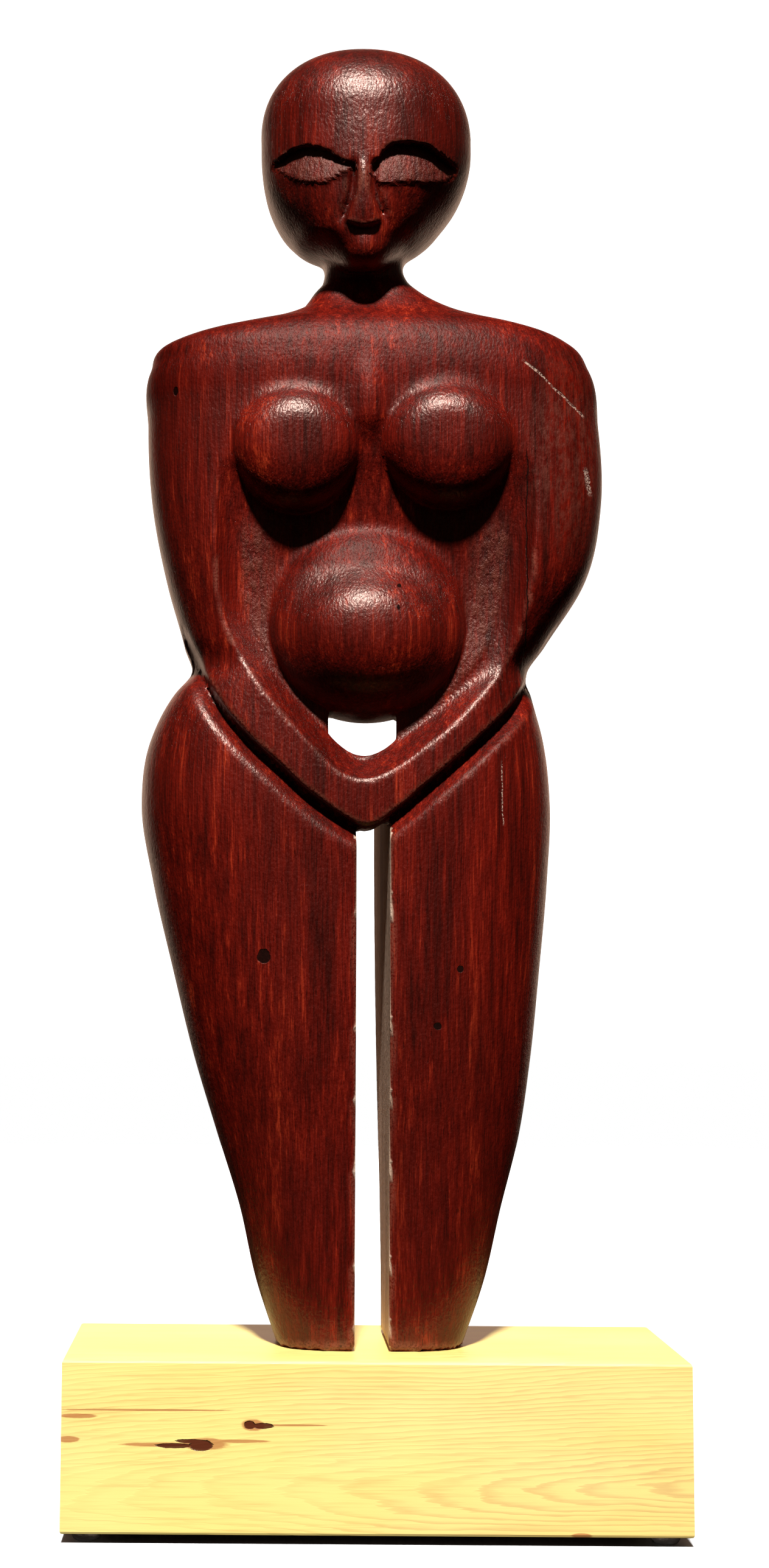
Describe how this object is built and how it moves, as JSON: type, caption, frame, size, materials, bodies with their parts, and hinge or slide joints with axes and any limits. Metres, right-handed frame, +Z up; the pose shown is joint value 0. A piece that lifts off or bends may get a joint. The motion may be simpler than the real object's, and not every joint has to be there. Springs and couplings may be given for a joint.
{
  "type": "fertility doll",
  "caption": "Standing female figure carved from dark red hardwood, hands joined under a round belly, legs split by a slot, on a pine timber base.",
  "frame": {"origin": "on the floor plane, under the centre of the whole object's bounding box", "axes": "+Z up from the floor to the top of the head; -Y is the way the figure faces; +X is towards the figure's own left hand, at the right in a front view"},
  "size_m": [0.33, 0.179, 0.835],
  "materials": {
    "carved_hardwood": "dark red-brown close-grained hardwood with upright orange-red streaks, rubbed to a satin polish",
    "pine_timber": "planed yellow pine with growth rings and two dark knots, thin clear finish",
    "clear_bumper": "clear soft polyurethane",
    "zinc_steel": "bright zinc plate"
  },
  "bodies": {
    "root": {"figure_carving": "carved_hardwood", "base_block": "pine_timber", "foot_front_left": "clear_bumper", "foot_front_right": "clear_bumper", "foot_rear_left": "clear_bumper", "foot_rear_right": "clear_bumper", "leg_screw_left": "zinc_steel", "leg_screw_right": "zinc_steel", "leg_washer_left": "zinc_steel", "leg_washer_right": "zinc_steel"}
  },
  "joints": []
}
